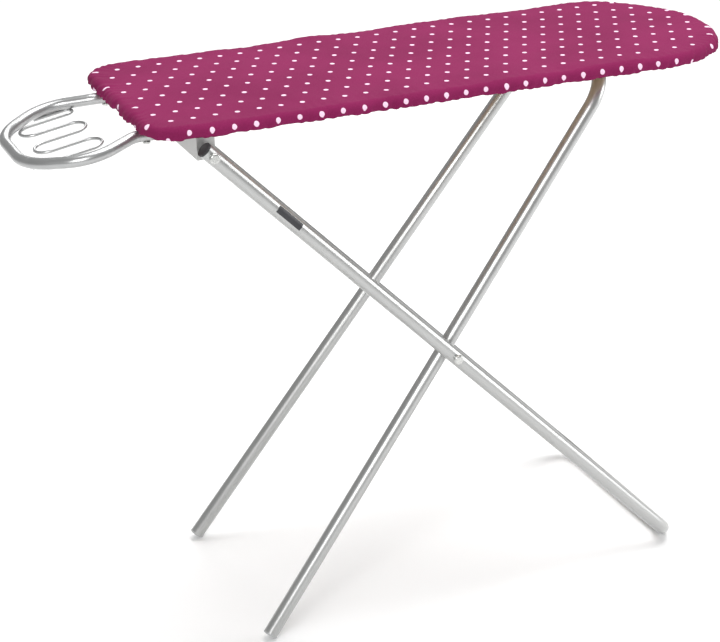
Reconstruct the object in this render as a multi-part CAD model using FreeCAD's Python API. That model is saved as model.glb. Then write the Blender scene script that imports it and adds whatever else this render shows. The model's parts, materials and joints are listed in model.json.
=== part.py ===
"""Small folding ironing board: padded board, crossed tube legs and a wire iron rest.

Frame: millimetres, +Z up, +X towards the rounded nose, origin on the floor under the
middle of the object's length. Each node is written to parts/NODE.step.
"""
import FreeCAD
import Part
import math
import os
from FreeCAD import Vector as V

# ---------------------------------------------------------------- driving dimensions (mm)
# Whole object
OVERALL_L = 810.0        # iron rest's free end to the nose
TOP_Z = 602.0            # ironing surface above the floor
# Board
BOARD_L = 695.0          # squared end to nose
BOARD_W = 252.0          # width over the cover
NOSE_L = 114.0           # length of the elliptical nose
CORNER_R = 36.0          # corners of the squared end
COVER_T = 1.0            # fabric
PAD_T = 5.0              # foam
PANEL_T = 6.0            # wooden panel
PANEL_INSET = 3.0        # panel edge inside the cover's edge
HEM_W = 20.0             # width of the hem turned under the panel
ELASTIC_W = 4.0          # flat elastic in the hem's edge
ELASTIC_T = 1.0
SOFT_GAP = 0.3           # soft layers from what they wrap
# Leg tube
TUBE_D = 16.0
TUBE_WALL = 1.2
# Outer leg: hinged to the board near the squared end, floor bar under the nose
HINGE_INSET = 59.0       # hinge axis from the squared end
HINGE_DROP = 20.0        # hinge axis under the panel's underside
OUTER_ANGLE = 45.4       # slope from the floor, degrees
OUTER_TOP_HALF = 128.0   # tube axis from the middle plane at the hinge
OUTER_FLOOR_HALF = 126.0  # and at the floor
OUTER_TOP_EXTRA = 9.5    # tube beyond the hinge bolt
OUTER_BEND_R = 34.0
# Inner leg: feet under the squared end, cross bar in catches under the nose
PIVOT_Z = 300.0
INNER_ANGLE = 52.8
INNER_BAR_DROP = 13.0    # cross bar axis under the panel's underside
INNER_FOOT_HALF = 123.0
INNER_TOP_HALF = 79.0
INNER_BEND_R = 46.0
# Bolts
BOLT_D = 6.0
BOLT_HEAD_D = 11.0
BOLT_HEAD_H = 3.5
NUT_AF = 10.0
NUT_H = 5.0
RUN_GAP = 0.05           # radial, moving tube on its bolt
SIDE_GAP = 0.5           # sideways, between faces that turn past each other
WASHER_D = 12.0
WASHER_T = 1.2
# Hinge bracket (bent sheet)
SHEET_T = 2.0
WEB_BEHIND = 12.0        # bracket web behind the hinge axis
EAR_FRONT = 7.0          # ear ahead of the hinge axis
EAR_BELOW = 6.0
EAR_ROUND = 2.5
FLANGE_L = 44.0
FLANGE_HALF = 94.0
# Catches that hold the cross bar
CATCH_Y = 20.0
CATCH_W = 15.0
CATCH_WALL = 4.0
CATCH_GAP = 1.0
CATCH_FOOT_L = 26.0
# Small screws into the panel
SCREW_D = 4.0
SCREW_HEAD_D = 8.0
SCREW_HEAD_H = 2.4
SCREW_BITE = 5.0
SCREW_GAP = 0.1          # radial, screw through metal
INSERT_D = 6.5           # threaded insert in the panel
# Iron rest
REST_D = 12.0
REST_WALL = 1.0
REST_DROP = 9.0          # tube axis under the panel's underside, where the arms are bolted
REST_HALF = 70.0         # tube axis from the middle plane, under the board
REST_BEND_OUT = 2.0      # bend outwards and down, beyond the squared end
REST_SLOPE = 10.2        # fall of the loop away from the board, degrees
REST_WIDE_HALF = 95.0    # corner of the loop's widest part, before rounding
REST_WIDE_OUT = 52.0     # and its distance from the squared end
REST_TIP_HALF = 50.0     # corner of the loop's end, before rounding
REST_BEND_RS = (24.0, 45.0, 60.0)  # neck, widest part, end
REST_UNDER = 41.0        # arms under the board
REST_BOLT_IN = (11.0, 31.0)  # bolts from the squared end
WIRE_D = 3.4
WIRE_FIRST_Y = 71.0      # first free run
WIRE_PITCH = 29.0
WIRE_RUNS = 5            # free runs
WIRE_TUCK = 14.0         # first end, tucked under the tube, from the first free run
WIRE_RIGHT_GAP = 24.0    # right-hand loops from the squared end
WIRE_LEFT_GAP = 23.0     # left-hand turns from the loop's end
WIRE_START_OUT = 64.0    # first end from the squared end
WIRE_END_IN = 9.0        # second end from the loop's end
WELD = 0.15              # wire let into the tube where it is welded
# Trim
PLUG_FLANGE_T = 2.0
PLUG_DEPTH = 5.0 
PLUG_GAP = 0.15          # radial, plug stem in its tube
LABEL_L = 34.0
LABEL_T = 0.4
LABEL_GAP = 0.15         # glue under the label
LABEL_FROM_HINGE = 108.0
LABEL_ARC = 56.0
LABEL_TURN = 14.0        # label's middle, turned upwards from the side

# ---------------------------------------------------------------- places worked out from them
NOSE_X = OVERALL_L / 2
END_X = NOSE_X - BOARD_L
HALF_W = BOARD_W / 2
PANEL_TOP = TOP_Z - COVER_T - PAD_T
PANEL_Z = PANEL_TOP - PANEL_T
HINGE_Z = PANEL_Z - HINGE_DROP
INNER_BAR_Z = PANEL_Z - INNER_BAR_DROP
REST_Z = PANEL_Z - REST_DROP
TUBE_R = TUBE_D / 2
HINGE_X = END_X + HINGE_INSET
SLOPE_B = math.radians(OUTER_ANGLE)
SLOPE_A = math.radians(INNER_ANGLE)
PIVOT_X = HINGE_X + (HINGE_Z - PIVOT_Z) / math.tan(SLOPE_B)
OUTER_UP = (HINGE_Z - PIVOT_Z) / math.sin(SLOPE_B)       # pivot to hinge
OUTER_DOWN = (PIVOT_Z - TUBE_R) / math.sin(SLOPE_B)      # pivot to floor bar axis
INNER_UP = (INNER_BAR_Z - PIVOT_Z) / math.sin(SLOPE_A)   # pivot to cross bar axis
FOOT_END = (PIVOT_Z - TUBE_R * math.cos(SLOPE_A)) / math.sin(SLOPE_A)
INNER_DOWN = FOOT_END - PLUG_FLANGE_T                    # pivot to the tube's cut end
BAR_X = PIVOT_X + INNER_UP * math.cos(SLOPE_A)
REST_X = -OVERALL_L / 2 + REST_D / 2
REST_FALL = math.tan(math.radians(REST_SLOPE))
MID_Y = V(0, 1, 0)


def outer_half(s):
    """Outer leg's half width at s along the leg, positive above the pivot."""
    share = (s + OUTER_DOWN) / (OUTER_UP + OUTER_DOWN)
    return OUTER_FLOOR_HALF + (OUTER_TOP_HALF - OUTER_FLOOR_HALF) * share


def inner_half(s):
    """Inner leg's half width at s along the leg, positive above the pivot."""
    share = (s + INNER_DOWN) / (INNER_UP + INNER_DOWN)
    return INNER_FOOT_HALF + (INNER_TOP_HALF - INNER_FOOT_HALF) * share


# ---------------------------------------------------------------- shape helpers
def save(node, shapes):
    """Write one node: a single solid, or a group of separate solids."""
    shapes = shapes if isinstance(shapes, list) else [shapes]
    shape = shapes[0] if len(shapes) == 1 else Part.makeCompound(shapes)
    shape.exportStep("parts/" + node + ".step")


def both_sides(shape):
    """The shape and its mirror image across the middle plane."""
    return [shape, shape.mirror(V(0, 0, 0), V(0, 1, 0))]


def bent_path(points, radii):
    """Wire through the points with a tangent arc at each inner corner."""
    edges, start = [], points[0]
    for i in range(1, len(points) - 1):
        corner, r = points[i], radii[i - 1]
        a = (points[i - 1] - corner).normalize()
        b = (points[i + 1] - corner).normalize()
        half = a.getAngle(b) / 2
        run = r / math.tan(half)
        middle = corner + (a + b).normalize() * (r / math.sin(half) - r)
        p, q = corner + a * run, corner + b * run
        if (p - start).Length > 1e-4:
            edges.append(Part.makeLine(start, p))
        edges.append(Part.Arc(p, middle, q).toShape())
        start = q
    if (points[-1] - start).Length > 1e-4:
        edges.append(Part.makeLine(start, points[-1]))
    return Part.Wire(edges)


def sweep(path, diameter):
    """Round bar along a path."""
    first = path.Edges[0]
    start = first.valueAt(first.FirstParameter)
    along = first.tangentAt(first.FirstParameter)
    ring = Part.Wire([Part.makeCircle(diameter / 2, start, along)])
    return path.makePipeShell([ring], True, True)


def tube(path, diameter, wall):
    """Hollow round tube along a path, open at both ends."""
    return sweep(path, diameter).cut(sweep(path, diameter - 2 * wall))


def disc(centre, axis, diameter, length, bore=0.0):
    """Round disc or ring from centre along axis."""
    solid = Part.makeCylinder(diameter / 2, length, centre, axis)
    if bore:
        solid = solid.cut(Part.makeCylinder(bore / 2, length, centre, axis))
    return solid


def pan_head(seat, axis, diameter, height):
    """Domed head that sits on seat and rises along axis."""
    head = Part.makeCylinder(diameter / 2, height, seat, axis)
    rim = [e for e in head.Edges if e.Closed and (e.CenterOfMass - seat).dot(axis) > height / 2]
    return head.makeFillet(height * 0.55, rim)


def hex_nut(seat, axis, across_flats, height, bore):
    """Hexagonal nut with its near face at seat; the axis lies along Y or Z."""
    side = V(1, 0, 0)
    other = axis.cross(side)
    r = across_flats / 2 / math.cos(math.pi / 6)
    corners = [seat + side * (r * math.cos(k * math.pi / 3)) + other * (r * math.sin(k * math.pi / 3))
               for k in range(7)]
    body = Part.Face(Part.makePolygon(corners)).extrude(axis * height)
    return body.cut(Part.makeCylinder(bore / 2, height, seat, axis))


def bolt(seat, axis, reach):
    """Pan-head bolt: head outside seat, shank running the other way for reach."""
    shank = Part.makeCylinder(BOLT_D / 2, reach, seat, axis * -1)
    return pan_head(seat, axis, BOLT_HEAD_D, BOLT_HEAD_H).fuse(shank)


def nose_arc(turn, length, half):
    """Half ellipse from the near side round the nose to the far side."""
    centre, tip = V(turn, 0, 0), V(turn + length, 0, 0)
    if length > half:
        return Part.Arc(Part.Ellipse(tip, V(turn, half, 0), centre), -math.pi / 2, math.pi / 2)
    return Part.Arc(Part.Ellipse(V(turn, -half, 0), tip, centre), 0, math.pi)


def board_outline(inset):
    """Closed plan of the board: squared end with round corners, elliptical nose."""
    left, half = END_X + inset, HALF_W - inset
    r = CORNER_R - inset if CORNER_R - inset > 2 else 2.0
    turn = NOSE_X - NOSE_L
    k = r * (1 - math.sqrt(0.5))
    edges = [
        Part.makeLine(V(left + r, -half, 0), V(turn, -half, 0)),
        nose_arc(turn, NOSE_L - inset, half).toShape(),
        Part.makeLine(V(turn, half, 0), V(left + r, half, 0)),
        Part.Arc(V(left + r, half, 0), V(left + k, half - k, 0), V(left, half - r, 0)).toShape(),
        Part.makeLine(V(left, half - r, 0), V(left, -half + r, 0)),
        Part.Arc(V(left, -half + r, 0), V(left + k, -half + k, 0), V(left + r, -half, 0)).toShape(),
    ]
    return Part.Face(Part.Wire(edges))


def slab(inset, low, high):
    """Plate of the board's outline, inset from its edge, between two heights."""
    face = board_outline(inset)
    face.translate(V(0, 0, low))
    return face.extrude(V(0, 0, high - low))


def leg_point(angle_cos, angle_sin, s, y):
    """Point on a leg's plane: s along the leg from the pivot, y across."""
    return V(PIVOT_X + s * angle_cos, y, PIVOT_Z + s * angle_sin)


def outer_point(s, y):
    return leg_point(-math.cos(SLOPE_B), math.sin(SLOPE_B), s, y)


def inner_point(s, y):
    return leg_point(math.cos(SLOPE_A), math.sin(SLOPE_A), s, y)


def cross_hole(x, z, diameter):
    """Cutter along Y through both sides."""
    return Part.makeCylinder(diameter / 2, 4 * HALF_W, V(x, -2 * HALF_W, z), MID_Y)


# ---------------------------------------------------------------- board
def screw_places():
    """Screw points under the panel: bracket flange, then catch feet."""
    flange_x = HINGE_X - WEB_BEHIND + FLANGE_L * 0.62
    bracket = [(flange_x, y) for y in (-FLANGE_HALF * 0.85, -FLANGE_HALF * 0.3,
                                       FLANGE_HALF * 0.3, FLANGE_HALF * 0.85)]
    foot_x = BAR_X - TUBE_R - CATCH_GAP - CATCH_WALL - CATCH_FOOT_L / 2
    catch = [(foot_x, -CATCH_Y), (foot_x, CATCH_Y)]
    return bracket, catch


def rest_bolt_places():
    return [(END_X + d, side * REST_HALF) for d in REST_BOLT_IN for side in (-1, 1)]


def make_board():
    """Panel, foam pad, fabric cover and the elastic in the cover's hem."""
    panel = slab(PANEL_INSET, PANEL_Z, PANEL_TOP)
    bracket, catch = screw_places()
    for x, y in bracket + catch:
        panel = panel.cut(disc(V(x, y, PANEL_Z), V(0, 0, 1), SCREW_D, SCREW_BITE))
    for x, y in rest_bolt_places():
        panel = panel.cut(disc(V(x, y, PANEL_Z), V(0, 0, 1), INSERT_D, SCREW_BITE))
    save("board_panel", panel)
    save("foam_pad", slab(COVER_T + SOFT_GAP, PANEL_TOP, TOP_Z - COVER_T))
    cover = slab(0, PANEL_Z - COVER_T, TOP_Z)
    cover = cover.cut(slab(COVER_T, PANEL_Z, TOP_Z - COVER_T))
    cover = cover.cut(slab(HEM_W, PANEL_Z - COVER_T, PANEL_Z))
    for x, y in rest_bolt_places():
        slit = disc(V(x, y, PANEL_Z - COVER_T), V(0, 0, 1), WASHER_D + 2 * SOFT_GAP, COVER_T)
        cover = cover.cut(slit)
    save("fabric_cover", cover)
    edge = HEM_W + SOFT_GAP
    elastic = slab(edge, PANEL_Z - ELASTIC_T, PANEL_Z)
    save("hem_elastic", elastic.cut(slab(edge + ELASTIC_W, PANEL_Z - ELASTIC_T, PANEL_Z)))


def panel_screws(places, plate_t):
    """Pan-head screws driven up into the panel through a plate."""
    screws = []
    for x, y in places:
        seat = V(x, y, PANEL_Z - plate_t)
        head = pan_head(seat, V(0, 0, -1), SCREW_HEAD_D, SCREW_HEAD_H)
        screws.append(head.fuse(Part.makeCylinder(SCREW_D / 2, plate_t + SCREW_BITE, seat, V(0, 0, 1))))
    return screws


def ear_inner():
    """Inner face of the bracket's ear, from the middle plane."""
    return outer_half(OUTER_UP) - TUBE_R - WASHER_T - SHEET_T - 2 * RUN_GAP


def make_hinge_bracket():
    """Bent sheet channel under the board: flange, web and two ears for the hinge bolts."""
    back = HINGE_X - WEB_BEHIND
    low = HINGE_Z - EAR_BELOW
    ear_top = PANEL_Z - COVER_T - 2.0
    inner = ear_inner()
    flange = Part.makeBox(FLANGE_L, 2 * FLANGE_HALF, SHEET_T, V(back, -FLANGE_HALF, PANEL_Z - SHEET_T))
    web = Part.makeBox(SHEET_T, 2 * FLANGE_HALF, PANEL_Z - low, V(back, -FLANGE_HALF, low))
    wide = Part.makeBox(SHEET_T, 2 * (inner + SHEET_T), ear_top - low, V(back, -inner - SHEET_T, low))
    bracket = flange.fuse([web, wide])
    for side in (-1, 1):
        y = inner if side > 0 else -inner - SHEET_T
        ear = Part.makeBox(WEB_BEHIND + EAR_FRONT, SHEET_T, ear_top - low, V(back, y, low))
        front = [e for e in ear.Edges if abs(e.CenterOfMass.x - back - WEB_BEHIND - EAR_FRONT) < 1e-6
                 and abs(e.Length - SHEET_T) < 1e-6]
        bracket = bracket.fuse(ear.makeFillet(EAR_ROUND, front))
    bracket = bracket.removeSplitter().cut(cross_hole(HINGE_X, HINGE_Z, BOLT_D))
    places, _ = screw_places()
    for x, y in places:
        bracket = bracket.cut(disc(V(x, y, PANEL_Z - SHEET_T), V(0, 0, 1), SCREW_D, SHEET_T))
    save("hinge_bracket", bracket)
    save("bracket_screws", panel_screws(places, SHEET_T))


def make_bar_catches():
    """Two moulded catches, open towards the nose, that the cross bar clicks into."""
    roof = INNER_BAR_Z + TUBE_R + CATCH_GAP
    floor = INNER_BAR_Z - TUBE_R - CATCH_GAP * 2
    left = BAR_X - TUBE_R - CATCH_GAP
    catches = []
    for y in (-CATCH_Y, CATCH_Y):
        near = y - CATCH_W / 2
        low = floor - CATCH_WALL
        body = Part.makeBox(CATCH_WALL + TUBE_D + 2, CATCH_W, PANEL_Z - low, V(left - CATCH_WALL, near, low))
        slot = Part.makeBox(TUBE_D * 2, CATCH_W, roof - floor, V(left, near, floor))
        back = [e for e in slot.Edges
                if abs(e.CenterOfMass.x - left) < 1e-6 and abs(e.Length - CATCH_W) < 1e-6]
        slot = slot.makeFillet((roof - floor) * 0.4, back)
        foot = Part.makeBox(CATCH_FOOT_L, CATCH_W, CATCH_WALL,
                            V(left - CATCH_WALL - CATCH_FOOT_L, near, PANEL_Z - CATCH_WALL))
        body = body.cut(slot).fuse(foot).removeSplitter()
        _, places = screw_places()
        for x, sy in places:
            body = body.cut(disc(V(x, sy, PANEL_Z - CATCH_WALL), V(0, 0, 1), SCREW_D, CATCH_WALL))
        catches.append(body)
    save("bar_catches", catches)
    save("catch_screws", panel_screws(screw_places()[1], CATCH_WALL))


# ---------------------------------------------------------------- hinge and pivot hardware
def make_hinge_hardware():
    """Bolts that hold the outer leg to the bracket's ears, with washers and nuts."""
    outside = outer_half(OUTER_UP) + TUBE_R + 2 * RUN_GAP
    ear = ear_inner()
    washer = disc(V(HINGE_X, ear + SHEET_T, HINGE_Z), MID_Y, WASHER_D, WASHER_T, BOLT_D)
    nut = hex_nut(V(HINGE_X, ear, HINGE_Z), MID_Y * -1, NUT_AF, NUT_H, BOLT_D)
    reach = outside - ear + NUT_H + 1.5
    save("hinge_bolts", both_sides(bolt(V(HINGE_X, outside, HINGE_Z), MID_Y, reach)))
    save("hinge_washers", both_sides(washer))
    save("hinge_nuts", both_sides(nut))


def make_pivot_hardware():
    """Bolts through both legs, with the spacer between them, a washer and a lock nut."""
    outside = outer_half(0) + TUBE_R + RUN_GAP
    outer_in = outer_half(0) - TUBE_R - RUN_GAP
    inner_out = inner_half(0) + TUBE_R + SIDE_GAP
    inner_in = inner_half(0) - TUBE_R - SIDE_GAP
    at = lambda y: V(PIVOT_X, y, PIVOT_Z)
    reach = outside - inner_in + WASHER_T + NUT_H + 1.5
    save("pivot_bolts", both_sides(bolt(at(outside), MID_Y, reach)))
    save("pivot_spacers", both_sides(disc(at(inner_out), MID_Y, WASHER_D, outer_in - inner_out, BOLT_D)))
    save("pivot_washers", both_sides(disc(at(inner_in - WASHER_T), MID_Y, WASHER_D, WASHER_T, BOLT_D)))
    save("pivot_nuts", both_sides(hex_nut(at(inner_in - WASHER_T), MID_Y * -1, NUT_AF, NUT_H, BOLT_D)))


# ---------------------------------------------------------------- legs
def tube_plug(end, away):
    """Plastic plug pushed into a tube's end: a flange outside, a stem inside."""
    flange = disc(end, away, TUBE_D, PLUG_FLANGE_T)
    return flange.fuse(disc(end, away * -1, TUBE_D - 2 * (TUBE_WALL + PLUG_GAP), PLUG_DEPTH))


def make_outer_leg():
    """U frame: two sides hinged to the board and one bar along the floor."""
    top = OUTER_UP + OUTER_TOP_EXTRA
    low = -OUTER_DOWN
    points = [outer_point(s, side * outer_half(s)) for s, side in
              ((top, -1), (low, -1), (low, 1), (top, 1))]
    frame = tube(bent_path(points, [OUTER_BEND_R, OUTER_BEND_R]), TUBE_D, TUBE_WALL)
    frame = frame.cut(cross_hole(HINGE_X, HINGE_Z, BOLT_D + 2 * RUN_GAP))
    frame = frame.cut(cross_hole(PIVOT_X, PIVOT_Z, BOLT_D + 2 * RUN_GAP))
    save("outer_leg_frame", frame)
    away = (points[0] - points[1]).normalize()
    save("outer_leg_plugs", both_sides(tube_plug(points[0], away)))
    save("blank_label", label(points[0], away))


def label(end, up):
    """Thin blank label wrapped round the outside of the outer leg, below the hinge."""
    start = end - up * (OUTER_TOP_EXTRA + LABEL_FROM_HINGE + LABEL_L / 2)
    lean = math.tan(math.radians(LABEL_TURN))
    outward = V(math.sin(SLOPE_B) * lean, -1, math.cos(SLOPE_B) * lean)
    bore = TUBE_D + 2 * LABEL_GAP
    sheet = disc(start, up, bore + 2 * LABEL_T, LABEL_L, bore)
    side = up.cross(outward).normalize()
    out = side.cross(up).normalize()
    out = out if out.dot(outward) > 0 else out * -1
    half = math.radians(LABEL_ARC / 2)
    far = TUBE_D
    corners = [start, start + (out * math.cos(half) + side * math.sin(half)) * far * 3,
               start + out * far * 3, start + (out * math.cos(half) - side * math.sin(half)) * far * 3, start]
    wedge = Part.Face(Part.makePolygon(corners)).extrude(up * LABEL_L)
    return sheet.common(wedge)


def make_inner_leg():
    """Inverted U frame: two splayed feet and one bar under the board."""
    points = [inner_point(s, side * inner_half(s)) for s, side in
              ((-INNER_DOWN, -1), (INNER_UP, -1), (INNER_UP, 1), (-INNER_DOWN, 1))]
    frame = tube(bent_path(points, [INNER_BEND_R, INNER_BEND_R]), TUBE_D, TUBE_WALL)
    save("inner_leg_frame", frame.cut(cross_hole(PIVOT_X, PIVOT_Z, BOLT_D + 2 * RUN_GAP)))
    away = (points[0] - points[1]).normalize()
    save("foot_plugs", both_sides(tube_plug(points[0], away)))


# ---------------------------------------------------------------- iron rest
def rest_height(x):
    """Height of the rest's tube axis: level under the board, then falling away from it."""
    out = END_X - REST_BEND_OUT - x
    return REST_Z - (out * REST_FALL if out > 0 else 0.0)


def make_iron_rest():
    """Tube loop bolted under the squared end, with a wire bent to and fro inside it."""
    corners = [(END_X + REST_UNDER, REST_HALF), (END_X - REST_BEND_OUT, REST_HALF),
               (END_X - REST_WIDE_OUT, REST_WIDE_HALF), (REST_X, REST_TIP_HALF)]
    near = [V(x, -y, rest_height(x)) for x, y in corners]
    far = [V(x, y, rest_height(x)) for x, y in reversed(corners)]
    radii = list(REST_BEND_RS) + list(reversed(REST_BEND_RS))
    loop = tube(bent_path(near + far, radii), REST_D, REST_WALL)
    bolts, spacers, inserts = [], [], []
    under = REST_Z - REST_D / 2
    over = REST_Z + REST_D / 2
    for x, y in rest_bolt_places():
        loop = loop.cut(disc(V(x, y, under - 1), V(0, 0, 1), SCREW_D + 2 * SCREW_GAP, REST_D + 2))
        head = pan_head(V(x, y, under), V(0, 0, -1), SCREW_HEAD_D, SCREW_HEAD_H)
        shank = Part.makeCylinder(SCREW_D / 2, PANEL_Z - under + SCREW_BITE - 0.5, V(x, y, under), V(0, 0, 1))
        bolts.append(head.fuse(shank))
        spacers.append(disc(V(x, y, over), V(0, 0, 1), WASHER_D, PANEL_Z - over, SCREW_D))
        inserts.append(disc(V(x, y, PANEL_Z), V(0, 0, 1), INSERT_D, SCREW_BITE, SCREW_D))
    save("iron_rest_loop", loop)
    save("iron_rest_bolts", bolts)
    save("iron_rest_spacers", spacers)
    save("iron_rest_inserts", inserts)
    save("iron_rest_wire", sweep(wire_path(), WIRE_D))


def wire_path():
    """Wire to and fro under the loop: one end tucked along its far side, one under its end."""
    under = (REST_D + WIRE_D) / 2 - WELD
    right = END_X - WIRE_RIGHT_GAP
    left = REST_X + WIRE_LEFT_GAP
    rows = [WIRE_FIRST_Y + WIRE_TUCK] + [WIRE_FIRST_Y - k * WIRE_PITCH for k in range(WIRE_RUNS)]
    plan, radii = [(END_X - WIRE_START_OUT, rows[0])], []
    for k in range(len(rows) - 1):
        x = right if k % 2 == 0 else left
        plan += [(x, rows[k]), (x, rows[k + 1])]
        radii += [(rows[k] - rows[k + 1]) * 0.49] * 2
    plan.append((REST_X + WIRE_END_IN, rows[-1]))
    drop = under / math.cos(math.radians(REST_SLOPE))
    return bent_path([V(x, y, rest_height(x) - drop) for x, y in plan], radii)


os.makedirs("parts", exist_ok=True)
make_board()
make_hinge_bracket()
make_bar_catches()
make_hinge_hardware()
make_pivot_hardware()
make_outer_leg()
make_inner_leg()
make_iron_rest()
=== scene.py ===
# %% [markdown]
# # A small folding ironing board
#
# The frame, tubes, bracket and fasteners come from the CAD model and stay where they are.
# This notebook gives them their finishes, and makes the soft parts: the dotted cotton cover
# with its gathered hem, the foam pad under it, and the elastic that pulls the hem tight.

# %% Load the frame
import json
import math

import bmesh
import bpy
import numpy as np
from mathutils import Matrix, Vector


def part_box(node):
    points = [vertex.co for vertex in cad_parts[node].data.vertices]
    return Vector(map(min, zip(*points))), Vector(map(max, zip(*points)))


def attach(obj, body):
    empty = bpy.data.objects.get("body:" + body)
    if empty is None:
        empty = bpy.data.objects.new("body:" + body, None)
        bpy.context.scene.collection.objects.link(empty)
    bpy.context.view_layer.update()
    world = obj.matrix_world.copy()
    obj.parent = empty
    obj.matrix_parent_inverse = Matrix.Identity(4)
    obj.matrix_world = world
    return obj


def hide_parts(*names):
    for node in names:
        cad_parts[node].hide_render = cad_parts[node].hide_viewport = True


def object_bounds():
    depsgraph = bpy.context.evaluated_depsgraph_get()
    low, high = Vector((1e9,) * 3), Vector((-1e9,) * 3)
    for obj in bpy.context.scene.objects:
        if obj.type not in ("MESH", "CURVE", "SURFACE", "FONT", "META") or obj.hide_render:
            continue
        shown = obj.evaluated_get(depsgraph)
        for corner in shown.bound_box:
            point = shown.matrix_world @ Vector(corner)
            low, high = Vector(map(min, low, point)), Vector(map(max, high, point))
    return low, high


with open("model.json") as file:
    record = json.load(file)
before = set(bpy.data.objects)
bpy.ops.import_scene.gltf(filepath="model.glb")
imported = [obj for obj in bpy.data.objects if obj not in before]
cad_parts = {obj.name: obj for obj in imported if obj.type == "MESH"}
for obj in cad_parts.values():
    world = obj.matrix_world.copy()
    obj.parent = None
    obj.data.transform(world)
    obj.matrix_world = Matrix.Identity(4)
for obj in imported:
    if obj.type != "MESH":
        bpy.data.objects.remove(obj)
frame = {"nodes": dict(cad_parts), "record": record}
cad_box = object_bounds()
print("CAD box, metres:", [tuple(round(c, 4) for c in corner) for corner in cad_box])

# %% [markdown]
# ## Camera
#
# The camera stands on the near side, towards the squared end, and looks down on the board.
# It could be keyed in as a place and three turns, but it is given by a point to look at, two
# angles, a small roll and a distance, because those are the values a photographer would
# change. Lengths are in metres, and MM turns millimetres into them.

# %% Camera
MM = 0.001
AZIMUTH, ELEVATION, ROLL = -23.057, 23.774, -1.028     # degrees
LENS, SENSOR = 100.07, 36.0                            # both in millimetres
DISTANCE = 2.29
AIM = Vector((-0.0088, 0.0304, 0.2878))
NEAR_CLIP, FAR_CLIP = 0.05, 50.0


def camera_axes(azimuth, elevation, roll):
    """Right, up and back directions of a camera that looks at the aim point.

    Back is (sin a cos e, -cos a cos e, sin e). Right is level, up is back x right, and both
    turn by the roll about the line of sight.
    """
    a, e, r = (math.radians(x) for x in (azimuth, elevation, roll))
    back = Vector((math.sin(a) * math.cos(e), -math.cos(a) * math.cos(e), math.sin(e)))
    right = Vector((math.cos(a), math.sin(a), 0.0))
    up = back.cross(right)
    return (right * math.cos(r) + up * math.sin(r), up * math.cos(r) - right * math.sin(r), back)


right, up, back = camera_axes(AZIMUTH, ELEVATION, ROLL)
camera = bpy.data.objects.new("camera", bpy.data.cameras.new("camera"))
bpy.context.scene.collection.objects.link(camera)
turned = Matrix((right, up, back)).transposed().to_4x4()
camera.matrix_world = Matrix.Translation(AIM + back * DISTANCE) @ turned
camera.data.sensor_width, camera.data.lens = SENSOR, LENS
camera.data.clip_start, camera.data.clip_end = NEAR_CLIP, FAR_CLIP
bpy.context.scene.camera = camera
print("camera at", [round(c, 3) for c in camera.matrix_world.translation])


# %% [markdown]
# ## Shader sums
#
# Every finish below is a sum of patterns. Such a sum could be built node by node, with a link
# for each, but it is easier to read as a line of arithmetic. So one small class wraps a
# socket, and its operators add the Math nodes. A second class holds one material while it is
# made, and has a single method that adds any other node.


# %% Shader sums
class Wire:
    """A socket that can stand in a sum: each operator adds the Math node it names."""

    def __init__(self, bench, socket):
        self.bench, self.socket = bench, socket

    def math(self, operation, other=None):
        """The Math node of that name on this value, and on other where it takes two."""
        values = {0: self} if other is None else {0: self, 1: other}
        return self.bench.node("ShaderNodeMath", {"operation": operation}, values)

    def __add__(self, other):
        return self.math("ADD", other)

    def __mul__(self, other):
        return self.math("MULTIPLY", other)

    def __sub__(self, other):
        return self.math("SUBTRACT", other)

    def __truediv__(self, other):
        return self.math("DIVIDE", other)

    def __pow__(self, other):
        return self.math("POWER", other)

    def __rsub__(self, other):
        return self.bench.node("ShaderNodeMath", {"operation": "SUBTRACT"}, {0: other, 1: self})

    __radd__, __rmul__ = __add__, __mul__

    def between(self, low, high):
        """0 below low, 1 above high, smooth in between."""
        return self.bench.node("ShaderNodeMapRange", {"interpolation_type": "SMOOTHSTEP"},
                               {"Value": self, "From Min": low, "From Max": high})


# %% Material bench
class Bench:
    """One material being made, with a single method that adds any node."""

    def __init__(self, name, **uniform):
        """An empty material. What is the same all over is set on the shader's own sockets."""
        self.material = bpy.data.materials.new(name)
        self.material.use_nodes = True
        self.tree = self.material.node_tree
        self.shader = self.tree.nodes["Principled BSDF"]
        for socket, value in uniform.items():
            self.shader.inputs[socket.replace("_", " ")].default_value = value

    def node(self, kind, settings=None, values=None, output=0):
        """Adds a node: its settings first, then its sockets, each from a number or a wire."""
        made = self.tree.nodes.new(kind)
        for name, value in (settings or {}).items():
            setattr(made, name, value)
        for name, value in (values or {}).items():
            if isinstance(value, Wire):
                self.tree.links.new(value.socket, made.inputs[name])
            else:
                made.inputs[name].default_value = value
        return Wire(self, made.outputs[output])

    def place(self):
        """Object coordinates, in metres."""
        return self.node("ShaderNodeTexCoord", output="Object")

    def noise(self, where, scale, detail=2.0, roughness=0.5):
        """Soft noise from 0 to 1, with about scale lumps a metre."""
        return self.node("ShaderNodeTexNoise", None,
                         {"Vector": where, "Scale": scale, "Detail": detail, "Roughness": roughness})

    def blend(self, amount, first, second):
        """Colour between first and second."""
        return self.node("ShaderNodeMix", {"data_type": "RGBA"},
                         {"Factor": amount, 6: first, 7: second}, output=2)

    def split(self, vector, axis):
        """One number of a vector: axis 0 is x, 1 is y."""
        return self.node("ShaderNodeSeparateXYZ", None, {0: vector}, output=axis)

    def map(self, name):
        """The piece's own coordinates from the UV map of that name."""
        return self.node("ShaderNodeUVMap", {"uv_map": name})

    def feed(self, **wires):
        """Links wires to the shader's sockets of the same name."""
        for socket, wire in wires.items():
            self.tree.links.new(wire.socket, self.shader.inputs[socket.replace("_", " ")])

    def bump(self, height, strength, distance):
        """Raises the surface by height, up to distance in metres, in the shading only."""
        self.feed(Normal=self.node("ShaderNodeBump", None,
                                   {"Height": height, "Strength": strength, "Distance": distance}))


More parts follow.
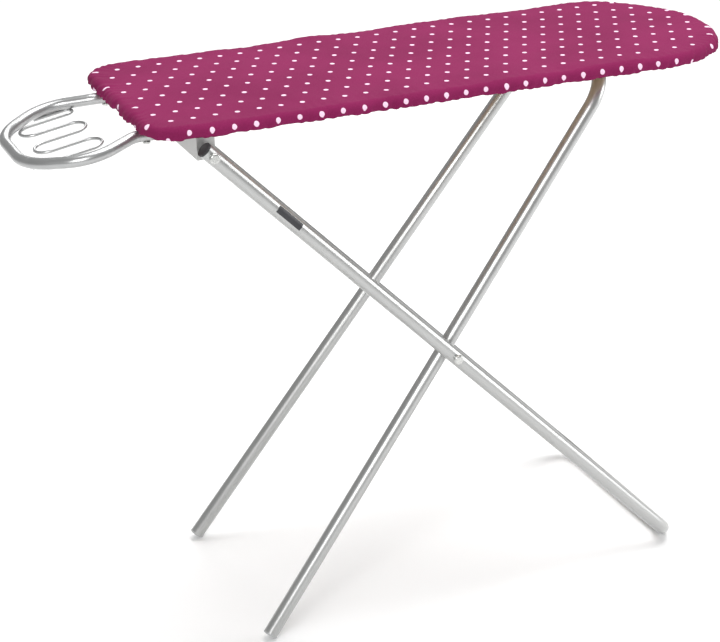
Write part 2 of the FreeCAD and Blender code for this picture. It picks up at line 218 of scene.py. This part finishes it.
# %% [markdown]
# ## Studio floor and lamps
#
# The floor is one pale plane that catches the shadows, with a tone that hardly changes. Small
# lamps or a sun would throw hard shadows, so four large square lamps and a white surround
# light the board, and leave only faint ones.

# %% Floor
FLOOR_HALF = 7.0
FLOOR_GAP = 0.4 * MM           # the floor lies this far under the feet, so they never mix
FLOOR_DARK, FLOOR_PALE = (0.93, 0.93, 0.93, 1), (0.95, 0.95, 0.95, 1)


def make_floor():
    """A square at floor height, wider than the camera sees."""
    mesh = bpy.data.meshes.new("studio_floor")
    corners = [(-1, -1), (1, -1), (1, 1), (-1, 1)]
    level = cad_box[0].z - FLOOR_GAP
    mesh.from_pydata([(x * FLOOR_HALF, y * FLOOR_HALF, level) for x, y in corners], [], [(0, 1, 2, 3)])
    floor = bpy.data.objects.new("studio_floor", mesh)
    bpy.context.scene.collection.objects.link(floor)
    bench = Bench("floor_paper", Roughness=0.75)
    grain = bench.noise(bench.place(), 2.0)
    bench.feed(Base_Color=bench.blend(grain, FLOOR_DARK, FLOOR_PALE))
    mesh.materials.append(bench.material)


make_floor()
print("floor: %.0f m square" % (2 * FLOOR_HALF))

# %% Lamps
MIDDLE = (cad_box[0] + cad_box[1]) / 2
# name, place, side of the square and power in watts
LAMPS = [("top_lamp", (0.5, 0.3, 3.1), 2.4, 86.0),
         ("front_lamp", (-1.9, -2.5, 1.9), 1.4, 56.0),
         ("side_lamp", (2.7, -0.9, 0.9), 1.3, 30.0),
         ("back_lamp", (1.2, 3.2, 2.2), 1.8, 34.0)]
SURROUND = 0.40


def soft_lamp(name, place, size, power):
    """A large square lamp at place, facing the board's middle."""
    lamp = bpy.data.lights.new(name, "AREA")
    lamp.energy, lamp.size = power, size
    holder = bpy.data.objects.new(name, lamp)
    bpy.context.scene.collection.objects.link(holder)
    place = Vector(place)
    holder.location = place
    holder.rotation_euler = (Vector(MIDDLE) - place).to_track_quat("-Z", "Y").to_euler()


for lamp in LAMPS:
    soft_lamp(*lamp)
world = bpy.data.worlds.new("surround")
bpy.context.scene.world = world
world.use_nodes = True
sky = world.node_tree.nodes["Background"]
sky.inputs["Color"].default_value = (1.0, 1.0, 1.0, 1.0)
sky.inputs["Strength"].default_value = SURROUND
bpy.context.scene.view_settings.view_transform = "Standard"
print("lamps:", len(LAMPS))

# %% [markdown]
# ## The board's plan
#
# Everything soft follows one plan: a squared end with round corners, straight sides and an
# elliptical nose. It could be traced from the panel's edge, but that has uneven steps, so it
# is worked out again from the CAD cover's box. It is walked at even steps, and one function
# serves the cover, the pad and the elastic at different insets.

# %% Plan of the board
COVER_LOW, COVER_HIGH = (np.array(c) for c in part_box("fabric_cover"))
HALF_WIDTH = (COVER_HIGH[1] - COVER_LOW[1]) / 2
NOSE_LENGTH = 114 * MM
CORNER_RADIUS = 36 * MM
CURVE_POINTS = 400             # points on the nose and on the corner before they are evened out


def plan(steps, inset=0.0):
    """Closed plan at even steps, its outward direction, and the running length.

    Half of it goes from the nose's tip to the middle of the squared end: the nose is an
    ellipse, x = turn + a cos t, y = b sin t, and the corner a quarter circle. The half is
    resampled by running length, then mirrored, so that both sides have the same steps.
    Outward is the tangent turned by a right angle.
    """
    b, a, r = HALF_WIDTH - inset, NOSE_LENGTH - inset, CORNER_RADIUS - inset
    turn, left = COVER_HIGH[0] - NOSE_LENGTH, COVER_LOW[0] + inset
    t = np.linspace(0, np.pi / 2, CURVE_POINTS)
    nose = np.stack([turn + a * np.cos(t), b * np.sin(t)], 1)
    corner = np.stack([left + r - r * np.sin(t), b - r + r * np.cos(t)], 1)
    half = np.concatenate([nose, corner, [[left, 0.0]]])
    run = np.concatenate([[0], np.cumsum(np.linalg.norm(np.diff(half, axis=0), axis=1))])
    even = np.linspace(0, run[-1], steps // 2 + 1)
    side = np.stack([np.interp(even, run, half[:, k]) for k in (0, 1)], 1)
    points = np.concatenate([side, side[-2:0:-1] * (1, -1)])
    along = np.roll(points, -1, 0) - np.roll(points, 1, 0)
    along /= np.linalg.norm(along, axis=1, keepdims=True)
    length = 2 * run[-1]
    return points, np.stack([along[:, 1], -along[:, 0]], 1), np.arange(steps) * length / steps, length


print("plan: %.0f mm round the edge" % (plan(CURVE_POINTS)[3] / MM))


# %% [markdown]
# ## From a grid to a mesh
#
# Each soft piece is a grid of points: rows go round the plan, and columns go along the
# profile. Faces join each point to its neighbours. Where the grid folds onto itself, as on
# the middle line of the top, equal points are merged so that the surface is closed there.


# %% Grid to mesh
MERGE, SLIVER = 1e-5, 1e-7     # points nearer than this, in metres, are one


def surface(name, grid, uv=None, edge=None, closed_profile=False):
    """Mesh from a grid of points: rows run round the plan, columns along the profile.

    Row ends always meet. closed_profile also joins the last column to the first.
    """
    rows, cols = grid.shape[:2]
    across = cols if closed_profile else cols - 1
    i, j = np.meshgrid(np.arange(rows), np.arange(across), indexing="ij")
    i2, j2 = (i + 1) % rows, (j + 1) % cols
    quads = np.stack([i * cols + j, i * cols + j2, i2 * cols + j2, i2 * cols + j], -1).reshape(-1, 4)
    mesh = bpy.data.meshes.new(name)
    mesh.from_pydata(grid.reshape(-1, 3).tolist(), [], quads.tolist())
    piece = bpy.data.objects.new(name, mesh)
    bpy.context.scene.collection.objects.link(piece)
    for layer, values in (("cloth", uv), ("edge", edge)):
        if values is not None:
            corner = np.zeros(len(mesh.loops), np.int32)
            mesh.loops.foreach_get("vertex_index", corner)
            data = values.reshape(-1, 2)[corner].astype(np.float32)
            mesh.uv_layers.new(name=layer).data.foreach_set("uv", data.ravel())
    mesh.polygons.foreach_set("use_smooth", np.ones(len(mesh.polygons), bool))
    return piece


def merge_doubles(piece):
    """Joins the points where the surface closes on itself, and turns its faces outwards."""
    work = bmesh.new()
    work.from_mesh(piece.data)
    bmesh.ops.remove_doubles(work, verts=work.verts, dist=MERGE)
    bmesh.ops.dissolve_degenerate(work, dist=SLIVER, edges=work.edges)
    bmesh.ops.recalc_face_normals(work, faces=work.faces)
    work.to_mesh(piece.data)
    work.free()
    piece.data.update()


# %% [markdown]
# ## Cover
#
# The cover is one piece of cotton laid over the pad and drawn under the board by elastic. On
# the flat top it is nearly smooth, with a few soft ripples where the foam gives. At the edge
# it turns down in a soft roll, and because the hem is shorter than the plan it puckers: the
# folds grow from nothing at the roll to their full depth at the hem. A cloth simulation
# could find them, but on a firm pad they are only about 2 mm deep, finer than its mesh. So
# the cover is a profile (top, roll, side, tuck) carried round the plan, with relief added.

# %% Cover section
TOP, BOTTOM = COVER_HIGH[2], COVER_LOW[2]
PLAN_STEPS, TOP_COLUMNS = 880, 24
ROLL = 8.0 * MM                # radius of the soft roll at the top edge
UNDER_ROLL = 3.0 * MM          # and of the smaller one under the board's edge
TUCK_WIDTH = 19 * MM           # the hem reaches this far under
ROLL_POINTS, SIDE_POINTS, TUCK_POINTS = 13, 4, 9


def section():
    """The cover's section from its roll to the hem: inset from the plan, and height.

    A quarter circle down, a short straight side, a small quarter circle under, and the tuck.
    """
    q = np.linspace(0, np.pi / 2, ROLL_POINTS)[1:]
    roll = np.stack([ROLL * (1 - np.sin(q)), TOP - ROLL * (1 - np.cos(q))], 1)
    side = np.linspace(TOP - ROLL, BOTTOM + UNDER_ROLL, SIDE_POINTS)[1:]
    side = np.stack([0 * side, side], 1)
    q = q[1::2]
    under = np.stack([UNDER_ROLL * (1 - np.cos(q)), BOTTOM + UNDER_ROLL * (1 - np.sin(q))], 1)
    tuck = np.linspace(UNDER_ROLL, TUCK_WIDTH, TUCK_POINTS)[1:]
    return np.concatenate([roll, side, under, np.stack([tuck, BOTTOM + 0 * tuck], 1)])


print("section:", len(section()), "columns from the roll to the hem")


# %% Waves
def ripples(x, y, seed, count, low, high):
    """Sum of count plane waves, sin(k (x cos a + y sin a) + p), about -1 to 1.

    The wave number k is drawn between low and high, and the direction a and phase p freely.
    """
    draw = np.random.default_rng(seed)
    k, angle = draw.uniform(low, high, count), draw.uniform(0, np.pi, count)
    phase = draw.uniform(0, 2 * np.pi, count)
    waves = np.sin(k * (x[..., None] * np.cos(angle) + y[..., None] * np.sin(angle)) + phase)
    return waves.sum(-1) / math.sqrt(count)


def round_the_edge(run, length, seed, count, low, high):
    """Sum of count waves, sin(2 pi n run / length + p), about -1 to 1.

    Each has a whole number n of turns round the plan, from low to high, so that they meet.
    """
    draw = np.random.default_rng(seed)
    turns, phase = draw.integers(low, high, count), draw.uniform(0, 2 * np.pi, count)
    return np.sin(2 * np.pi * turns * run[..., None] / length + phase).sum(-1) / math.sqrt(count)


# %% Smooth cover
LINE_START = COVER_LOW[0] + 0.8 * HALF_WIDTH
LINE_END = COVER_HIGH[0] - 0.95 * NOSE_LENGTH
CROWDING = 0.85
points, out, run, length = plan(PLAN_STEPS)
rim = points - out * ROLL      # where the flat top ends and the roll begins
cut = section()


def across_the_top():
    """Points from a middle line to the rim: line + (rim - line) s, with s from 0 to 1.

    The line stops short of both ends, and there the columns fan out from its end. s is a
    power a little under 1, so the columns lie closer together towards the rim.
    """
    middle = np.clip(points[:, 0], LINE_START, LINE_END)
    line = np.stack([middle, 0 * middle], 1)
    share = np.linspace(0, 1, TOP_COLUMNS) ** CROWDING
    return line[:, None] + (rim - line)[:, None] * share[None, :, None]


xy = np.concatenate([across_the_top(), points[:, None] - out[:, None] * cut[None, :, :1]], 1)
level = np.concatenate([np.full(TOP_COLUMNS, TOP), cut[:, 1]])[None, :] + 0 * xy[..., 0]
# how far the cloth runs from the rim down the section: 0 all over the top
walked = np.cumsum(np.hypot(np.diff(np.r_[ROLL, cut[:, 0]]), np.diff(np.r_[TOP, cut[:, 1]])))
reach = np.r_[np.zeros(TOP_COLUMNS), walked]
print("cover grid: %d x %d points, %.0f mm from rim to hem" % (*xy.shape[:2], walked[-1] / MM))

# %% Flat cloth
CLOTH_EASE = 4.2 * MM          # the cloth is stretched over the roll, so the print lags by this
DRAWN_ALONG = 7.5 * MM         # and it is drawn towards the squared end on the near side,
DRAWN_FROM_X, DRAWN_OVER_X = -50 * MM, 400 * MM        # more and more towards the nose
DRAWN_FROM_Y, DRAWN_OVER_Y = 60 * MM, 180 * MM         # and towards the near edge


def flat_cloth():
    """The cloth's own flat coordinates, which the print follows, in metres.

    On the top they are x and y. Past the rim they go on outwards by the length walked, less
    ease (1 - exp(-length / ease)). Then x gains two ramps' product times the drawn length.
    """
    down = walked - CLOTH_EASE * (1 - np.exp(-walked / CLOTH_EASE))
    cloth = xy.copy()
    cloth[:, TOP_COLUMNS:] = rim[:, None] + out[:, None] * down[None, :, None]
    nearer_nose = np.clip((xy[..., 0] - DRAWN_FROM_X) / DRAWN_OVER_X, 0, 1)
    nearer_edge = np.clip((DRAWN_FROM_Y - xy[..., 1]) / DRAWN_OVER_Y, 0, 1)
    cloth[..., 0] += DRAWN_ALONG * nearer_nose * nearer_edge
    return cloth


flat_points = flat_cloth()
print("flat cloth: %.0f x %.0f mm" % tuple(np.ptp(flat_points, axis=(0, 1)) / MM))


# %% [markdown]
# ## Folds
#
# The drawn hem makes folds of four kinds. Puckers are narrow, gathers are wider, and the
# whole edge sways in and out a little. Between the round ridges the cloth is pinched into
# narrow creases. All lean, because the hem is drawn along as well as in. The squared end and
# its corners are gathered most. Waves are used for them because they close round the plan.

# %% Fold waves
FOLD_LEAN = 0.6                # a fold moves along by this share of its way down
FOLD_DEPTH = 1.25 * MM
SLACK_REACH = 70 * MM
# seed, number of waves, fewest and most turns round the plan
PUCKERS, GATHERS = (5, 10, 100, 210), (12, 8, 26, 75)
SWAYS, CREASES = (21, 7, 4, 22), (31, 4, 48, 84)
slanted = run[:, None] + FOLD_LEAN * reach[None, :]
pucker = round_the_edge(slanted, length, *PUCKERS)
gather = round_the_edge(slanted, length, *GATHERS)
sway = round_the_edge(run[:, None], length, *SWAYS)
# 0.55 less the root of a wave's size: a narrow line where it crosses 0, and a ridge elsewhere
crease = 0.55 - np.sqrt(np.abs(round_the_edge(slanted, length, *CREASES)))
slack = 0.85 + 0.15 * np.exp(-((points[:, :1] - COVER_LOW[0]) / SLACK_REACH) ** 2)
fold = np.tanh(pucker * 0.75 + gather * 0.65) * FOLD_DEPTH * slack
print("folds: %.1f mm in and out" % (np.abs(fold).max() / MM))

# %% Height
RIPPLE, FINE_RIPPLE = 0.42 * MM, 0.16 * MM
# seed, number of waves, lowest and highest wave number a metre
SLOW_WAVES, QUICK_WAVES = (3, 7, 14, 50), (8, 9, 60, 150)
TOP_SINKS = 0.6 * MM           # the ripples lie this far under the CAD cover's top on average
RIDGE_RISE, SWAY_RISE = 0.45, 0.7 * MM
RIDGE_FADE, RIDGE_END = 15 * MM, 60 * MM
EDGE_CALM = 20 * MM            # the top's relief dies out this far down the side


def rippled(level):
    """Height with relief: level + ripple + a share of each fold, which fades over the top.

    The fade is exp(-d / 15 mm), down to nothing at d = 60 mm, where d is the distance from
    the rim. Below the rim all of it fades in a straight line with the length walked.
    """
    x, y = xy[..., 0], xy[..., 1]
    ripple = ripples(x, y, *SLOW_WAVES) * RIPPLE + ripples(x, y, *QUICK_WAVES) * FINE_RIPPLE
    on_top = reach[None, :] == 0
    calm = np.where(on_top, 1.0, np.clip(1 - reach / EDGE_CALM, 0, 1)[None, :])
    inner = np.linalg.norm(rim[:, None] - xy, axis=-1)
    fade = np.exp(-inner / RIDGE_FADE) * np.clip(1 - inner / RIDGE_END, 0, 1)
    raised = fold * RIDGE_RISE + sway * SWAY_RISE
    return level + (ripple - TOP_SINKS) * calm + raised * np.where(on_top, fade, calm)


height = rippled(level)
on_the_top = height[:, :TOP_COLUMNS] / MM
print("top between %.1f and %.1f mm" % (on_the_top.min(), on_the_top.max()))

# %% Side and hem
CREASE = 1.8 * MM
SWAY_OUT = 0.8 * MM
FOLD_IN = 1.5 * MM             # a fold goes in no further, so it stays clear of the board
FOLD_GROWS = 10 * MM           # from the rim to where a fold has its full depth
FOLD_ENDS = 9 * MM             # and this far under the board it is flat again
HEM_HANGS = 0.9 * MM
tuck = np.clip(1 - (cut[:, 0] - UNDER_ROLL) / FOLD_ENDS, 0, 1) * (cut[:, 1] < TOP - ROLL)


def pushed_out():
    """How far the folds move the side outwards: fold, less crease, plus sway.

    Fold and crease deepen with the share of the way down. Inwards the sum is softly held to
    FOLD_IN by tanh. It grows in from the rim and dies out again under the board.
    """
    low = np.clip((TOP - height) / (TOP - BOTTOM), 0, 1)
    push = fold * (0.3 + 1.1 * low) - crease * CREASE * low + sway * SWAY_OUT
    push = np.where(push < 0, FOLD_IN * np.tanh(push / FOLD_IN), push)
    grow = np.clip(walked / FOLD_GROWS, 0, 1)
    return push * np.r_[np.zeros(TOP_COLUMNS), np.where(cut[:, 1] >= TOP - ROLL, grow, tuck)][None, :]


def hung_down():
    """How far the hem hangs below the section: a smooth step of the folds, from 0 to 0.9 mm."""
    step = 0.5 + 0.5 * np.tanh(1.2 * (pucker * 0.6 + gather * 0.8))
    return step * HEM_HANGS * np.r_[np.zeros(TOP_COLUMNS), tuck][None, :]


# %% Cover
def make_cover():
    """The smooth cover with its height, push and hang added, and its two maps."""
    moved = xy + out[:, None] * pushed_out()[..., None]
    grid = np.concatenate([moved, (height - hung_down())[..., None]], 2)
    edge = np.stack([run[:, None] + 0 * height, reach[None, :] + 0 * height], -1)
    made = surface("dotted_cover", grid, flat_points, edge)
    merge_doubles(made)
    return made


cover = make_cover()
print("cover:", len(cover.data.polygons), "faces")

# %% [markdown]
# ## Cotton
#
# The cloth carries its own flat coordinates, so the printed dots follow it over the roll.
# The dots sit on a slanted lattice: each row is shifted by part of the pitch. The nearest
# dot comes from rounding the row and then the place in the row. A picture of the cloth could
# do the same, but it would blur close up and need to be stored. Under the print are a plain
# weave, soft tone changes where the dye took unevenly, and a light fuzz (sheen).

# %% Print
DOT_PITCH, DOT_ROW, ROW_SHIFT = 23.23 * MM, 27.76 * MM, 14.0 * MM
DOT_RADIUS = 2.6 * MM
DOT_FROM_X, DOT_FROM_Y = -154.2 * MM, -69.2 * MM       # the middle of one dot


def printed_dots(bench, u, v, ragged):
    """1 in a dot, 0 outside, with an edge that the threads make a little ragged.

    The row is v / row pitch, rounded. The dot in it is (u - row x shift) / pitch, rounded.
    What is left over is the way to the nearest dot's middle.
    """
    row = (v / DOT_ROW).math("ROUND")
    slid = u - row * ROW_SHIFT
    du = slid - (slid / DOT_PITCH).math("ROUND") * DOT_PITCH
    dv = v - row * DOT_ROW
    return 1 - ((du * du + dv * dv) ** 0.5 + ragged).between(DOT_RADIUS * 0.93, DOT_RADIUS * 1.1)


# %% Hem stitching
STITCH, STITCH_WIDTH = 2.8 * MM, 0.4 * MM
HEM_STITCH = 34.0 * MM         # running length from the rim to the hem's stitching


def hem_stitches(bench):
    """1 on a stitch: a thin line at one running length, cut into dashes by a sine."""
    edge = bench.map("edge")
    along, reach_here = bench.split(edge, 0), bench.split(edge, 1)
    line = 1 - (reach_here - HEM_STITCH).math("ABSOLUTE").between(STITCH_WIDTH * 0.5, STITCH_WIDTH)
    return line * (along * (2 * math.pi / STITCH)).math("SINE").between(-0.5, -0.1)


# %% Cotton finish
THREAD = 0.6 * MM
GROUND_DARK, GROUND_PALE = (0.166, 0.0104, 0.060, 1), (0.202, 0.0143, 0.075, 1)
FLECK = (0.275, 0.026, 0.112, 1)
INK_PALE, INK_DARK = (0.84, 0.62, 0.76, 1), (0.76, 0.52, 0.68, 1)
STITCH_THREAD = (0.42, 0.06, 0.18, 1)


def cotton():
    """Magenta ground, pinkish white dots, plain weave and the hem's stitching."""
    bench = Bench("magenta_cotton", Sheen_Weight=0.02, Sheen_Roughness=0.5, Specular_IOR_Level=0.07)
    flat = bench.map("cloth")
    u, v = bench.split(flat, 0) - DOT_FROM_X, bench.split(flat, 1) - DOT_FROM_Y
    dot = printed_dots(bench, u, v, (bench.noise(flat, 2600.0) - 0.5) * (0.5 * MM))
    dye = bench.noise(flat, 9.0, 3.0).between(0.3, 0.7)
    fleck = bench.noise(flat, 900.0).between(0.3, 0.7)
    weave = (u * (2 * math.pi / THREAD)).math("SINE") * (v * (2 * math.pi / THREAD)).math("SINE")
    ground = bench.blend(fleck * 0.3, bench.blend(dye, GROUND_DARK, GROUND_PALE), FLECK)
    ink = bench.blend(fleck * 0.5, INK_PALE, INK_DARK)
    thread = hem_stitches(bench)
    colour = bench.blend(thread, bench.blend(dot, ground, ink), STITCH_THREAD)
    bench.feed(Base_Color=colour, Roughness=0.88 - dot * 0.1 + fleck * 0.06)
    bench.bump(weave * 0.4 + fleck * 0.5 + dot * 0.5 + thread * 1.5, 0.35, 0.12 * MM)
    return bench.material


cover.data.materials.append(cotton())
print("print: dots %.1f mm across, %.1f mm apart" % (2 * DOT_RADIUS / MM, DOT_PITCH / MM))

# %% Cloth facts
CLOTH_THICK = 0.7 * MM
thickness = cover.modifiers.new("cloth_thickness", "SOLIDIFY")
thickness.thickness, thickness.offset = CLOTH_THICK, -1.0
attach(cover, "board")
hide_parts("fabric_cover")

# %% [markdown]
# ## Pad
#
# The foam pad is a flat slab under the cover, with soft edges. A box with a bevel would do
# for a square board, but this one has to follow the nose, so its edge is half a circle
# carried round the plan, and its two flat sides are closed on a middle line. It is inset a
# little, and pressed down, as the drawn cover presses it.

# %% Pad shape
PAD_INSET = 5.0 * MM
PRESSED = 2.6 * MM             # the drawn cover presses the foam this far down
PAD_LIFT = 0.1 * MM            # and it clears the panel by this
PAD_STEPS, EDGE_POINTS, FLAT_COLUMNS = 360, 12, 8
PAD_LINE_END = 100 * MM        # the middle line stops this far from both ends


def make_pad():
    """Slab with round edges: the edge is r (1 - sin t) in and r cos t up, t from 0 to pi."""
    low, high = (np.array(c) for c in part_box("foam_pad"))
    low[2] += PAD_LIFT
    half = (high[2] - PRESSED - low[2]) / 2
    points, out, _, _ = plan(PAD_STEPS, PAD_INSET)
    turn = np.linspace(0, np.pi, EDGE_POINTS)
    r = half * 0.9
    inset = r * (1 - np.sin(turn))
    height = (low[2] + half) + r * np.cos(turn)
    rim = np.concatenate([points[:, None] - out[:, None] * inset[None, :, None],
                          np.broadcast_to(height[None, :, None], (PAD_STEPS, EDGE_POINTS, 1))], 2)
    middle = np.clip(points[:, 0], COVER_LOW[0] + PAD_LINE_END, COVER_HIGH[0] - PAD_LINE_END)
    line = np.stack([middle, 0 * middle], 1)
    share = np.linspace(0, 1, FLAT_COLUMNS + 1)[:-1]
    flat = line[:, None] + (rim[:, 0, :2] - line)[:, None] * share[None, :, None]
    upper = np.concatenate([flat, np.full((PAD_STEPS, FLAT_COLUMNS, 1), height[0])], 2)
    lower = np.concatenate([flat[:, ::-1], np.full((PAD_STEPS, FLAT_COLUMNS, 1), height[-1])], 2)
    pad = surface("foam_layer", np.concatenate([upper, rim, lower], 1))
    merge_doubles(pad)
    return pad


pad = make_pad()
print("pad:", len(pad.data.polygons), "faces")


# %% Foam finish
def foam():
    """Open cells, and a yellowing that comes in patches with age."""
    bench = Bench("pale_foam", Specular_IOR_Level=0.2)
    place = bench.place()
    cells = bench.node("ShaderNodeTexVoronoi", None, {"Vector": place, "Scale": 900.0})
    age = bench.noise(place, 12.0, 3.0).between(0.3, 0.7)
    bench.feed(Base_Color=bench.blend(age, (0.80, 0.79, 0.74, 1), (0.72, 0.68, 0.58, 1)),
               Roughness=0.9 - cells * 0.1)
    bench.bump(cells, 0.5, 0.4 * MM)
    return bench.material


pad.data.materials.append(foam())
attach(pad, "board")
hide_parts("foam_pad")

# %% [markdown]
# ## Elastic
#
# The elastic is a flat woven band that lies in the hem's edge. It could be a curve with a
# bevel, but a band has a thin oval section that stays level, and it shows its ribs, so it is
# the same kind of grid: an oval carried round the plan, gathered by a few slow waves.

# %% Elastic shape
BAND_WIDTH, BAND_STEPS, OVAL_POINTS = 4.0 * MM, 720, 14
RIB_PITCH, RIB_DEPTH = 2.2 * MM, 0.12
BAND_SWAY = 0.25 * MM
BAND_WAVES = (12, 7, 20, 48)   # seed, number of waves, fewest and most turns round the plan


def make_elastic():
    """An oval, w cos t in and h sin t up, carried round the plan.

    w is a little under half the width. h swells and shrinks with a sine of the running
    length, which makes the ribs, and the whole band sways by a sum of waves.
    """
    low, high = (np.array(c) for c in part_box("hem_elastic"))
    thick = high[2] - low[2]
    middle = (low[0] - COVER_LOW[0]) + BAND_WIDTH / 2
    points, out, run, length = plan(BAND_STEPS, middle)
    sway = round_the_edge(run, length, *BAND_WAVES) * BAND_SWAY
    rib = 1 + RIB_DEPTH * np.sin(2 * np.pi * np.round(length / RIB_PITCH) * run / length)
    turn = np.linspace(0, 2 * np.pi, OVAL_POINTS, endpoint=False)
    inset = (np.cos(turn)[None, :] * BAND_WIDTH / 2 * 0.96) + sway[:, None]
    height = (low[2] + high[2]) / 2 + np.sin(turn)[None, :] * thick * 0.42 * rib[:, None]
    grid = np.concatenate([points[:, None] - out[:, None] * inset[..., None], height[..., None]], 2)
    edge = np.stack([np.broadcast_to(run[:, None], height.shape), np.broadcast_to(turn, height.shape)], -1)
    band = surface("hem_elastic_band", grid, None, edge, closed_profile=True)
    merge_doubles(band)
    return band


elastic = make_elastic()
print("elastic:", len(elastic.data.polygons), "faces")

# %% Elastic finish
CORD_PITCH = 1.1 * MM
BAND_GREY, BAND_WHITE = (0.62, 0.60, 0.60, 1), (0.86, 0.85, 0.84, 1)


def woven_band():
    """Rubber cords across the band, as a sine along it, under a fuzz of fine threads."""
    bench = Bench("woven_elastic", Sheen_Weight=0.2, Specular_IOR_Level=0.25)
    run = bench.split(bench.map("edge"), 0)
    cord = (run * (2 * math.pi / CORD_PITCH)).math("SINE") * 0.5 + 0.5
    fuzz = bench.noise(bench.place(), 1500.0)
    bench.feed(Base_Color=bench.blend(cord * 0.5 + fuzz * 0.3, BAND_GREY, BAND_WHITE),
               Roughness=0.75 + fuzz * 0.2)
    bench.bump(cord, 0.5, 0.2 * MM)
    return bench.material


elastic.data.materials.append(woven_band())
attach(elastic, "board")
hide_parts("hem_elastic")

# %% [markdown]
# ## Metal finishes
#
# The tubes are sprayed silver: fine metal flakes in a satin lacquer, a little uneven along
# the tube, with rubbed marks where the legs are handled. Plain metal would mirror the studio
# too sharply, so the flakes change the roughness as well. The bolts are zinc plated: they
# are brighter, with tiny scratches and the crystals that plating leaves.


# %% Sprayed silver
def silver_lacquer(name, dark, light, rough):
    """Sprayed silver: flakes at two sizes change tone and roughness."""
    bench = Bench(name, Coat_Roughness=0.25)
    place = bench.place()
    flake = bench.noise(place, 3200.0, 1.0)
    cloud = bench.noise(place, 26.0, 3.0)
    rub = bench.noise(place, 130.0, 4.0, 0.6).between(0.62, 0.78)
    bench.feed(Base_Color=bench.blend(cloud * 0.5 + flake * 0.5, dark, light),
               Metallic=0.86 - rub * 0.25,
               Roughness=rough + cloud * 0.08 + flake * 0.06 + rub * 0.1,
               Coat_Weight=0.25 - rub * 0.15)
    bench.bump(flake * 0.6 + cloud, 0.12, 0.1 * MM)
    return bench.material


TUBE_SILVER = silver_lacquer("tube_silver", (0.38, 0.385, 0.38, 1), (0.51, 0.515, 0.51, 1), 0.27)
REST_SILVER = silver_lacquer("rest_silver", (0.36, 0.365, 0.365, 1), (0.48, 0.485, 0.485, 1), 0.24)
SHEET_SILVER = silver_lacquer("sheet_silver", (0.40, 0.40, 0.39, 1), (0.52, 0.52, 0.51, 1), 0.34)
print("silver:", TUBE_SILVER.name, REST_SILVER.name, SHEET_SILVER.name)


# %% Zinc plate
def zinc_plate():
    """Bright plate with tiny scratches, made by stretching a noise along one way."""
    bench = Bench("zinc_plate")
    place = bench.place()
    stretched = bench.node("ShaderNodeMapping", None, {"Vector": place, "Scale": (400.0, 4000.0, 900.0)})
    scratch = bench.noise(stretched, 1.0, 3.0)
    spangle = bench.node("ShaderNodeTexVoronoi", None, {"Vector": place, "Scale": 700.0})
    bench.feed(Base_Color=bench.blend(spangle, (0.46, 0.47, 0.46, 1), (0.66, 0.66, 0.64, 1)),
               Metallic=1.0 - scratch * 0.1, Roughness=0.2 + scratch * 0.18)
    bench.bump(scratch, 0.2, 0.1 * MM)
    return bench.material


# %% [markdown]
# ## Plastic and hardboard
#
# The plugs, washers and blank label are moulded plastic, which takes a fine matt texture
# from its mould. The panel is pressed wood fibre. Its fibres could be thin meshes, but they
# are far finer than a millimetre, so a noise stretched along the board stands for them.


# %% Moulded plastic
def moulded(name, dark, light, rough):
    """Matt plastic: a fine spark texture from the mould and a faint cloud of tone."""
    bench = Bench(name, Specular_IOR_Level=0.4)
    place = bench.place()
    spark = bench.noise(place, 1800.0, 3.0)
    cloud = bench.noise(place, 40.0, 2.0)
    bench.feed(Base_Color=bench.blend(cloud, dark, light), Roughness=rough + spark * 0.15)
    bench.bump(spark, 0.25, 0.15 * MM)
    return bench.material


# %% Hardboard
def hardboard():
    """Pressed fibre: short fibres from a stretched noise over a blotchy brown."""
    bench = Bench("hardboard", Specular_IOR_Level=0.3)
    place = bench.place()
    stretched = bench.node("ShaderNodeMapping", None, {"Vector": place, "Scale": (180.0, 700.0, 400.0)})
    fibre = bench.noise(stretched, 1.0, 6.0, 0.7)
    blotch = bench.noise(place, 14.0, 4.0)
    brown = bench.blend(blotch.between(0.3, 0.7), (0.30, 0.19, 0.10, 1), (0.40, 0.27, 0.16, 1))
    bench.feed(Base_Color=bench.blend(fibre.between(0.4, 0.8) * 0.6, brown, (0.52, 0.38, 0.24, 1)),
               Roughness=0.7 + fibre * 0.2)
    bench.bump(fibre, 0.4, 0.3 * MM)
    return bench.material


# %% [markdown]
# ## Dressing the CAD pieces
#
# The tubes and fasteners keep their CAD shapes, so only their materials change. They could
# be set piece by piece, but the record gives each piece a material slot, and one table from
# slot to finish dresses them all and misses none.

# %% Dress the pieces
FINISH = {
    "silver_tube": TUBE_SILVER,
    "rest_tube": REST_SILVER,
    "rest_wire": REST_SILVER,
    "bracket_metal": SHEET_SILVER,
    "zinc_hardware": zinc_plate(),
    "grey_plastic": moulded("grey_plugs", (0.36, 0.37, 0.37, 1), (0.44, 0.45, 0.45, 1), 0.5),
    "black_plastic": moulded("black_washers", (0.015, 0.015, 0.016, 1), (0.04, 0.04, 0.042, 1), 0.45),
    "label_dark": moulded("blank_label", (0.02, 0.021, 0.024, 1), (0.05, 0.05, 0.055, 1), 0.35),
    "panel_board": hardboard(),
}
dressed = 0
for part in frame["record"]["subparts"]:
    finish = FINISH.get(part["material_slot"])
    if finish:
        materials = frame["nodes"][part["node"]].data.materials
        if materials:
            materials[0] = finish
        else:
            materials.append(finish)
        dressed += 1
print("CAD pieces given a finish:", dressed)
